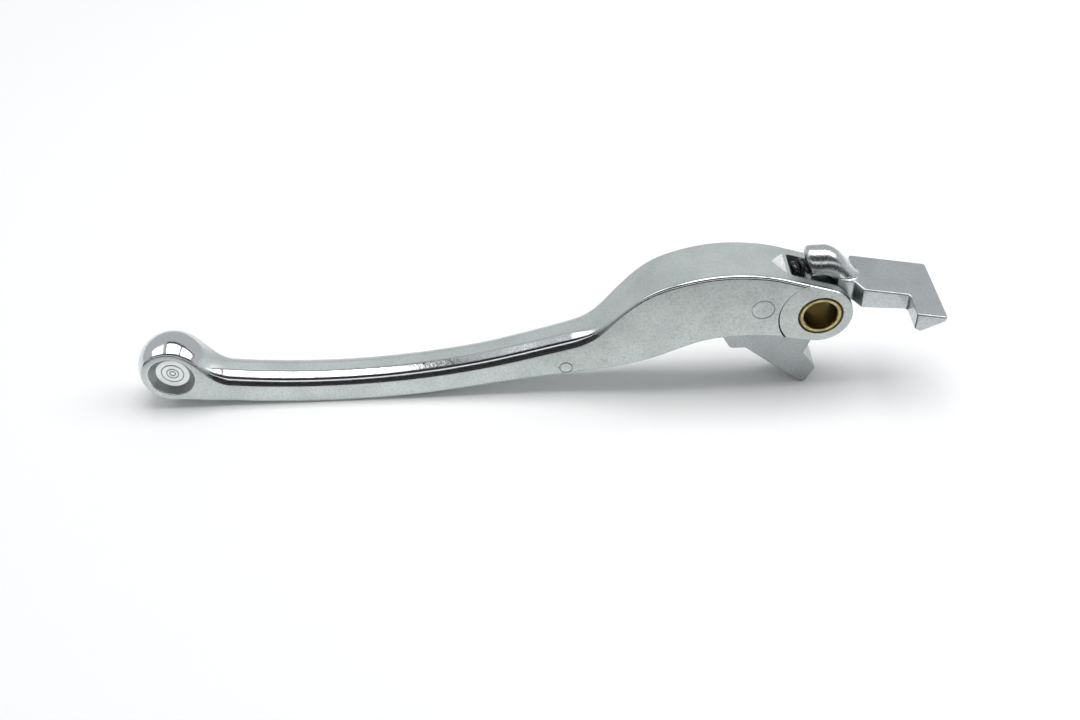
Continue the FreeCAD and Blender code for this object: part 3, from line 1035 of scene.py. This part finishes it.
    def half_profile(
        self, half: np.ndarray, rounding: np.ndarray, facet: np.ndarray, ball: np.ndarray
    ) -> tuple[np.ndarray, np.ndarray]:
        """Cross-profile from the middle of an edge to the side face, as width and inset.

        It is a flat and a quarter circle, or the blade's facet. On the ball it is the sphere's own
        curve and the rounded rim of the flat. Between them they are mixed by the shares.

        Args:
            half: Half width at each station.
            rounding: Radius of the quarter circle at each station.
            facet: Share of the blade's facet at each station.
            ball: Share of ball at each station.

        Returns:
            Distances from the middle plane and insets from the outline, each (stations, points).
        """
        flat = np.linspace(0.0, 1.0, FLAT_POINTS + 1)[None, :-1]
        quarter = np.linspace(0.0, math.pi / 2, EDGE_POINTS)[None, :]
        half, rounding, facet, ball = (row[:, None] for row in (half, rounding, facet, ball))
        curve = resample(self.facet_curve(), EDGE_POINTS)
        out = rounding * np.sin(quarter) * (1 - facet) + curve[None, :, 0] * facet
        drop = rounding * (1.0 - np.cos(quarter)) * (1 - facet) + curve[None, :, 1] * facet
        shelf = half - out[:, -1:]
        blade_y = np.hstack([shelf * flat, shelf + out])
        blade_inset = np.hstack([0.0 * half * flat, drop])
        radius, round_rim = self.ball_radius, self.ball_rim
        inner, rim_y = radius - round_rim, self.ball_flat - round_rim
        shoulder = math.asin(rim_y / inner)
        sphere = shoulder * flat
        rim = shoulder + (math.pi / 2 - shoulder) * quarter / (math.pi / 2)
        ball_y = np.hstack([radius * np.sin(sphere), rim_y + round_rim * np.sin(rim)])
        rim_inset = radius - math.sqrt(inner**2 - rim_y**2) - round_rim * np.cos(rim)
        ball_inset = np.hstack([radius * (1 - np.cos(sphere)), rim_inset])
        width = blade_y + (ball_y - blade_y) * ball
        return width, blade_inset + (ball_inset - blade_inset) * ball

    def body(self) -> bpy.types.Object:
        """Whole outside of the casting before it is cut.

        Each station's loop runs down the front from the top's middle to the underside's middle and
        up the back. Points near an edge are the outline's point less its normal times the inset, at
        the profile's width; the side face between them is straight. Round the neck and where the
        ears meet the bulge, each point is then moved towards the middle of its neighbours along the
        lever, many times over.

        Returns:
            The closed mesh object.
        """
        line = self.outlines()
        facet, neck = line["facet"], line["neck"]
        top_round = np.where(neck > 0.0, self.neck_round, self.edge_round)
        low_round = self.edge_round + (self.blade_under_round - self.edge_round) * facet
        shapes = [("top", 1.0, top_round, facet, line["ball_top"])]
        shapes.append(("under", -1.0, low_round, np.zeros_like(facet), line["ball_under"]))
        edges = []
        for name, turn, rounding, share, ball in shapes:
            width, inset = self.half_profile(line["half"], rounding, share, ball)
            normal = side_normals(line[name], turn)
            normal[0], normal[-1] = (1.0, 0.0), (-1.0, 0.0)
            place = line[name][:, None, :] - normal[:, None, :] * inset[..., None]
            edges.append(np.stack([place[..., 0], -width, place[..., 1]], axis=-1))
        top, under = edges
        share = np.linspace(0.0, 1.0, self.side_steps + 1)[None, 1:-1, None]
        side = top[:, -1:, :] + (under[:, -1:, :] - top[:, -1:, :]) * share
        front = np.concatenate([top, side, under[:, ::-1]], axis=1)
        back = front[:, -2:0:-1] * np.array([1.0, -1.0, 1.0])
        loop = np.concatenate([front, back], axis=1)
        weight = self.neck_ease * smooth_step(neck / self.neck_in)
        weight = weight * smooth_step((self.neck_end - neck) / self.neck_out)
        from_fork = (-line["top"][:, 0] - self.fork_reach) / self.fork_blend
        weight = np.maximum(weight, self.fork_ease * np.exp(-(from_fork**2)))
        for _ in range(self.smooth_passes):
            loop[1:-1] += weight[1:-1, None, None] * ((loop[:-2] + loop[2:]) / 2 - loop[1:-1])
        stations, columns = loop.shape[:2]
        polish = self.polish_share(line, top.shape[1], columns)
        faces = grid_faces(stations, columns)
        return make_mesh("lever_casting", loop.reshape(-1, 3), faces, polish)

    def polish_share(self, line: dict, edge: int, columns: int) -> np.ndarray:
        """Share of polish at each point: high on the roundings and the ball, low on the faces.

        Args:
            line: Stations from outlines().
            edge: Points of one half profile.
            columns: Points of a whole loop.

        Returns:
            One value for each point, row by row.
        """
        column = np.arange(columns)
        folded = np.minimum(column, columns - column)
        facet, ball, neck = (line[name][:, None] for name in ("facet", "ball_top", "neck"))
        on_round = smooth_step(folded - FLAT_POINTS + 1.0)
        on_round = on_round * smooth_step((edge - 2.0 - folded) / 2.0)
        on_round = on_round * np.where(column <= columns / 2, 1.0, self.back_polish)
        on_top = (folded < FLAT_POINTS).astype(float) * self.top_polish
        from_dull = (-line["top"][:, :1] - self.dull_reach) / self.dull_length
        buffed = self.round_polish + (1.0 - self.round_polish) * facet
        buffed = buffed * (1.0 - self.dull_share * np.exp(-(from_dull**2)))
        share = on_top[None, :] + on_round[None, :] * buffed
        last = FLAT_POINTS + self.ball_buffed_points
        on_ball = smooth_step((last - folded) / self.ball_fade_points)
        on_ball = self.ball_low_polish + (1.0 - self.ball_low_polish) * on_ball
        on_ball = (on_ball[None, :] - self.neck_polish) * ramp_from(neck, *self.buff_ramp)
        share = share * (1 - ball) + ball * (self.neck_polish + on_ball)
        return np.clip(share, 0.0, 1.0).reshape(-1)

    def cut(self, piece: bpy.types.Object) -> None:
        """Cuts slot, stop cavity, spring pocket, spot-faces, bore, notch, recess and pin marks.

        Args:
            piece: The uncut body.
        """
        pivot, spring = self.pivot, self.spring
        left, stop, ceiling = self.slot_left, self.stop_left, self.stop_ceiling
        half, corner = self.slot_width / 2, self.slot_round
        corners = [(left, -half, corner), (FAR, -half, 0.0), (FAR, half, 0.0), (left, half, corner)]
        low = ceiling - self.slot_overlap
        cut_away(piece, extruded("slot", rounded_outline(corners), 2, low, FAR))
        corners = [(stop, ceiling, self.stop_round), (stop, -FAR, 0.0)]
        corners += [(FAR, -FAR, 0.0), (FAR, ceiling, 0.0)]
        cut_away(piece, extruded("stop_cavity", rounded_outline(corners), 1, -half, half))
        reach, depth = spring.outer / 2 + spring.pocket_gap, spring.length
        profile = np.array([(0.0, 0.0), (reach, 0.0), (reach, depth), (0.0, depth)])
        tool = turned("pocket", profile, tuple(spring.seat), tuple(spring.axis), steps=48)
        cut_away(piece, tool)
        face, spot, groove = pivot.ear_face, self.spot_radius, self.groove_width
        half_spot = [(0.0, face), (spot - groove, face), (spot - groove / 2, face - groove / 2)]
        half_spot += [(spot, face), (spot, FAR), (0.0, FAR)]
        # Spot-faces, with painted shade in the groove round each.
        for side in (-1.0, 1.0):
            tool = turned("spot_face", np.array(half_spot), axis=(0.0, side, 0.0), steps=160)
            cut_away(piece, tool, self.spot_shade)
        bush, mouth = pivot.bush_radius, self.mouth_chamfer
        half_bore = [(0.0, -FAR), (bush + mouth, -FAR), (bush + mouth, -face), (bush, mouth - face)]
        profile = np.array(half_bore)
        profile = np.concatenate([profile, profile[::-1] * np.array([1.0, -1.0])])
        # Painted shade on the bore's mouth, in the gap round the bush.
        cut_away(piece, turned("bore", profile, steps=128), self.bore_mouth_shade)
        # Painted highlight: the notch's faces are painted pale.
        cut_away(piece, self.notch(), self.notch_highlight)
        cut_away(piece, self.recess(), self.recess_polish)
        # Pin marks, with painted shade in their grooves.
        for reach, height, radius, stain_and_shade in self.pin_marks:
            cut_away(piece, self.pin_mark(reach, height, radius), stain_and_shade)

    def spot_shade(self, place: np.ndarray) -> np.ndarray:
        """Painted shade of the spot-faces: none on the face, dark in the groove round it.

        Args:
            place: Places in millimetres.

        Returns:
            Share of polish at each place.
        """
        spot, groove = self.spot_radius, self.groove_width
        reach = np.hypot(place[:, 0], place[:, 2])
        return np.interp(reach, (spot - groove, spot - groove / 2, spot), self.groove_shades)

    def pin_mark(self, reach: float, height: float, radius: float) -> bpy.types.Object:
        """Fine round groove that an ejector pin leaves in the front face.

        Args:
            reach: Distance of its middle from the pivot.
            height: Height of its middle.
            radius: Radius of the groove.

        Returns:
            The closed ring that cuts it.
        """
        step = 0.5
        near, here, beyond = self.bulge_rows(np.array([reach - step, reach, reach + step]))[:, 2]
        lean = (near - beyond) / (2.0 * step)
        around = np.linspace(0.0, 2.0 * math.pi, 13)
        profile = np.array([radius, 0.0]) + circle_points(self.mark_width, around)
        middle, axis = (-reach, -here, height), (-lean, 1.0, 0.0)
        return turned("pin_mark", profile, middle, axis, steps=64)

    def notch(self) -> bpy.types.Object:
        """Three-sided notch in the top of the fork, deepest beside the pocket.

        Returns:
            The closed cutter, a little higher than the ears' sloping top.
        """
        touch = circle_points(self.pivot.boss_radius, self.touch_angle(self.fork_top, -1.0))
        base = self.slot_left - self.notch_rim
        tip = base - self.notch_length
        slope = (touch[1] - self.fork_top) / (touch[0] + self.fork_reach)
        tip_z, base_z = (self.fork_top + slope * (x + self.fork_reach) for x in (tip, base))
        half, lift = self.notch_width / 2, self.notch_lift
        points = [(tip, 0.0, tip_z), (base, -half, base_z), (base, half, base_z)]
        points += [(base, 0.0, base_z - self.notch_depth), (tip, 0.0, tip_z + lift)]
        points += [(base, -half, base_z + lift), (base, half, base_z + lift)]
        faces = [[0, 3, 1], [0, 2, 3], [1, 3, 2, 6, 5], [0, 1, 5, 4], [0, 4, 6, 2], [4, 5, 6]]
        return make_mesh("notch", np.array(points), faces)

    def recess(self) -> bpy.types.Object:
        """Turned recess of the ball's front flat: a cone, a floor and three fine rings.

        The floor's depth is the recess's own, plus a narrow bell curve at each ring's radius.

        Returns:
            The closed cutter.
        """
        reach = np.linspace(0.0, self.recess_floor, 120)
        depth = self.recess_depth + self.ring_depth * self.ring_share(reach)
        lip = np.linspace(0.0, math.pi / 2, 8)
        lip_reach = self.recess_radius + self.recess_lip * (1.0 - np.cos(lip))
        lip_depth = self.recess_lip * (1.0 - np.sin(lip))
        rim = self.recess_radius + self.recess_lip
        profile = [np.column_stack([reach, depth]), np.column_stack([lip_reach, lip_depth])]
        profile.append(np.array([(rim, -self.recess_front), (0.0, -self.recess_front)]))
        front = (self.ball_centre[0], -self.ball_flat, self.ball_centre[1])
        return turned("recess", np.concatenate(profile), front, steps=120)

    def ring_share(self, reach: np.ndarray) -> np.ndarray:
        """Sum of a narrow bell curve at the radius of each turned ring."""
        away = reach[:, None] - np.array(self.recess_rings)
        return np.exp(-((away / self.ring_width) ** 2)).sum(axis=1)

    def recess_polish(self, place: np.ndarray) -> np.ndarray:
        """Finish of the recess: painted shade in rings and cone, painted highlight on the floor, a
        buffed lip.

        Args:
            place: Places in millimetres.

        Returns:
            Share of polish at each place.
        """
        reach = np.hypot(place[:, 0] - self.ball_centre[0], place[:, 2] - self.ball_centre[1])
        # Painted highlight on the floor, painted shade in its rings.
        floor = np.maximum(self.floor_highlight - self.ring_shade * self.ring_share(reach), -1.0)
        on_lip = reach > self.recess_radius + self.lip_margin
        # Painted shade on the cone.
        cone = np.where(on_lip, self.lip_polish, self.cone_shade)
        return np.where(reach < self.recess_floor - self.floor_margin, floor, cone)

    def build(self) -> bpy.types.Object:
        """Builds and cuts the casting.

        Returns:
            The mesh object.
        """
        piece = self.body()
        self.cut(piece)
        return piece

    def dress(self, piece: bpy.types.Object) -> None:
        """Gives the casting its tumbled and polished finish."""
        finish = TumbledAluminium("tumbled_aluminium").make()
        dress(piece, finish, Body.LEVER, "lever_blade")


@dataclass
class ActuatorArm:
    """Cast arm in the fork: buffed finger, satin tail, and painted shade on the fin and a wall."""

    tail_top: tuple = (8.65, 4.0, -0.188)
    finger_x: float = 10.5
    hub_z: float = 7.4
    fin_z: float = -7.5
    finger_polish: float = 0.4
    fin_shade: float = -0.34
    wall_normal: tuple = (-0.853, -0.522, 0.0)
    wall_shade: float = -0.7
    level_cosine: float = 0.9995
    level_gap: float = 0.03
    above_gap: float = 0.003
    side_cosine: float = 0.98
    wall_cosine: float = 0.9

    def build(self) -> bpy.types.Object:
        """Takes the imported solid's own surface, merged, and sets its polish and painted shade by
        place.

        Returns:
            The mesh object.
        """
        piece = merged_copy("actuator_arm", "arm_casting")
        table = FaceTable(piece.data)
        middle, normal = table.read("center", 3) / MM, table.read("normal", 3)
        height, start, slope = self.tail_top
        above = middle[:, 2] - np.minimum(height, height + slope * (middle[:, 0] - start))
        upward = np.array([-slope, 0.0, 1.0]) / math.hypot(slope, 1.0)
        level = (normal @ upward > self.level_cosine) & (np.abs(above) < self.level_gap)
        side = np.abs(normal[:, 1])
        finger = (above > self.above_gap) & (middle[:, 0] < self.finger_x) & ~level
        hub = (middle[:, 2] > self.hub_z) & (middle[:, 0] < start)
        finger |= hub & (side < self.side_cosine)
        fin = (side > self.side_cosine) & (middle[:, 0] < start)
        fin |= middle[:, 2] < self.fin_z
        wall = (normal @ np.array(self.wall_normal) > self.wall_cosine) & (middle[:, 2] > 0.0)
        # Painted shade on the fin and on the wall facing the boss.
        shares = (self.finger_polish, self.fin_shade, self.wall_shade)
        for where, share in zip((finger, fin, wall), shares):
            table.set_polish(where, share)
        return piece

    def dress(self, piece: bpy.types.Object) -> None:
        """Gives the arm its satin finish."""
        finish = TumbledAluminium(
            "satin_aluminium",
            light=(0.615, 0.65, 0.66, 1.0),
            dark=(0.545, 0.58, 0.585, 1.0),
            matte_roughness=0.3,
        )
        dress(piece, finish.make(), Body.ARM, "actuator_arm")


@dataclass
class PivotBush:
    """Brass bush through ears and arm."""

    pivot: Pivot
    chamfer: float = 0.3
    rim: float = 0.15
    sharp_degrees: float = 25.0

    def build(self) -> bpy.types.Object:
        """Tube turned about the pivot axis, chamfered inside and eased outside.

        Returns:
            The mesh object.
        """
        face, bore, outer = self.pivot.ear_face, self.pivot.bore / 2, self.pivot.bush_radius
        half = [(bore, 0.0), (bore, face - self.chamfer), (bore + self.chamfer, face)]
        half += [(outer - self.rim, face), (outer, face - self.rim), (outer, 0.0)]
        upper = np.array(half)
        lower = upper[-2::-1] * np.array([1.0, -1.0])
        return turned("brass_bush", np.concatenate([upper, lower]), steps=128)

    def dress(self, piece: bpy.types.Object) -> None:
        """Gives the bush its turned brass."""
        finish = TurnedBrass("turned_brass").make()
        dress(piece, finish, Body.LEVER, "pivot_bush", self.sharp_degrees)


@dataclass
class Studio:
    """Pale floor, overhead panels and the camera of the photograph."""

    floor_z: float
    focal_pixels: float = 1222.0
    image_width: float = 1080.0
    sensor: float = 36.0
    elevation: float = 41.1
    roll: float = 2.3
    camera: tuple = (-68.7, -236.2, 189.4)
    clip_start: float = 0.005
    panel_height: float = 0.9
    panel_depth: tuple = (-0.17, 0.37)
    panels: tuple = ((-1.5, -0.54, 1.5), (-0.36, 0.36, 4.2), (0.48, 1.5, 4.2))
    world: float = 0.6
    ambient: float = 0.42
    sky: tuple = (0.96, 0.98, 1.0, 1.0)
    floor_reach: float = 6.0
    floor_grey: float = 0.88
    card_reach: float = 1.8
    card_grey: float = 0.03

    def make_camera(self) -> None:
        """Camera at the photograph's place: level turn, then tilt down and a small roll."""
        tilt, roll = math.radians(self.elevation), math.radians(self.roll)
        ahead = np.array([0.0, math.cos(tilt), -math.sin(tilt)])
        level = np.array([1.0, 0.0, 0.0])
        rise = np.array([0.0, math.sin(tilt), math.cos(tilt)])
        right = math.cos(roll) * level - math.sin(roll) * rise
        upward = math.sin(roll) * level + math.cos(roll) * rise
        turn = np.eye(4)
        turn[:3, 0], turn[:3, 1], turn[:3, 2] = right, upward, -ahead
        turn[:3, 3] = np.array(self.camera) * MM
        data = bpy.data.cameras.new("photo_camera")
        data.sensor_width = self.sensor
        data.lens = self.focal_pixels * self.sensor / self.image_width
        data.clip_start = self.clip_start
        made = bpy.data.objects.new("photo_camera", data)
        made.matrix_world = Matrix(turn.tolist())
        bpy.context.scene.collection.objects.link(made)
        bpy.context.scene.camera = made

    def sheet(self, name: str, corners: list, grey: float, glow: float = 0.0) -> bpy.types.Object:
        """Flat four-cornered stage sheet with a plain finish.

        Args:
            name: Name of the sheet.
            corners: Four points in metres.
            grey: Grey value.
            glow: Light that it gives off, where 1 is white.

        Returns:
            The stage object.
        """
        mesh = bpy.data.meshes.new(name)
        mesh.from_pydata(corners, [], [[0, 1, 2, 3]])
        made = bpy.data.objects.new(name, mesh)
        bpy.context.scene.collection.objects.link(made)
        paint = NodeSheet(name)
        paint.set(Base_Color=(grey, grey, grey, 1.0), Roughness=0.9, Specular_IOR_Level=0.1)
        paint.set(Emission_Color=(1.0, 1.0, 1.0, 1.0), Emission_Strength=glow)
        mesh.materials.append(paint.material)
        return made

    def make_floor(self) -> None:
        """White floor under the lever, and cards round it that only reflections see."""
        reach, z = self.floor_reach, self.floor_z
        corners = [(-reach, -reach, z), (reach, -reach, z), (reach, reach, z), (-reach, reach, z)]
        self.sheet("floor", corners, self.floor_grey)
        low, high = z + 0.001, self.panel_height + 0.01
        front, back = self.panel_depth
        wide = self.card_reach
        cards = [
            ("dark_strip", (-0.06, wide), (-0.06, low), (-0.34, low), 0.0),
            ("dark_blade_strip", (-wide, -0.06), (-0.028, low), (-0.34, low), 0.0),
            ("dark_card", (-wide, wide), (-0.34, low), (-0.36, 0.5), 0.0),
            ("dark_brow", (-wide, wide), (-0.36, 0.5), (front - 0.03, high), 0.0),
            ("dark_ceiling", (-0.42, wide), (front - 0.03, high), (back + 0.2, high), 0.0),
            ("front_window", (-wide, wide), (-0.335, 0.09), (-0.335, 0.18), 1.3),
        ]
        for name, (left, right), (y0, z0), (y1, z1), glow in cards:
            corners = [(left, y0, z0), (right, y0, z0), (right, y1, z1), (left, y1, z1)]
            card = self.sheet(name, corners, self.card_grey, glow)
            card.visible_camera = False
            card.visible_diffuse = False
            card.visible_shadow = False

    def make_light(self) -> None:
        """Grey surroundings, white to the camera, and three soft panels overhead."""
        world = bpy.data.worlds.new("surround")
        bpy.context.scene.world = world
        world.use_nodes = True
        nodes, links = world.node_tree.nodes, world.node_tree.links
        glow = nodes["Background"]
        glow.inputs["Color"].default_value = self.sky
        path = nodes.new("ShaderNodeLightPath")
        dim = nodes.new("ShaderNodeMapRange")
        dim.inputs["To Min"].default_value = self.world
        dim.inputs["To Max"].default_value = self.ambient
        links.new(path.outputs["Is Diffuse Ray"], dim.inputs["Value"])
        shade = nodes.new("ShaderNodeMapRange")
        shade.inputs["To Max"].default_value = 1.0
        links.new(dim.outputs["Result"], shade.inputs["To Min"])
        links.new(path.outputs["Is Camera Ray"], shade.inputs["Value"])
        links.new(shade.outputs["Result"], glow.inputs["Strength"])
        front, back = self.panel_depth
        for number, (left, right, radiance) in enumerate(self.panels):
            data = bpy.data.lights.new(f"panel_{number + 1}", "AREA")
            data.shape = "RECTANGLE"
            data.size, data.size_y = right - left, back - front
            data.energy = radiance * math.pi * data.size * data.size_y
            made = bpy.data.objects.new(data.name, data)
            made.location = ((left + right) / 2, (front + back) / 2, self.panel_height)
            made.visible_camera = False
            bpy.context.scene.collection.objects.link(made)

    def build(self) -> None:
        """Sets the whole stage and plain colour management."""
        bpy.context.scene.view_settings.view_transform = "Standard"
        self.make_camera()
        self.make_floor()
        self.make_light()


def main() -> None:
    """Builds and dresses the pieces and sets the stage."""
    logging.basicConfig(level=logging.INFO, format="%(name)s %(message)s")
    pivot = Pivot()
    spring = PreloadSpring()
    for part in (LeverBlade(pivot, spring), ActuatorArm(), PivotBush(pivot), spring):
        part.dress(part.build())
    Studio(floor_z=CAD_BOX[0].z).build()
    bpy.context.view_layer.update()


if __name__ == "__main__":
    main()
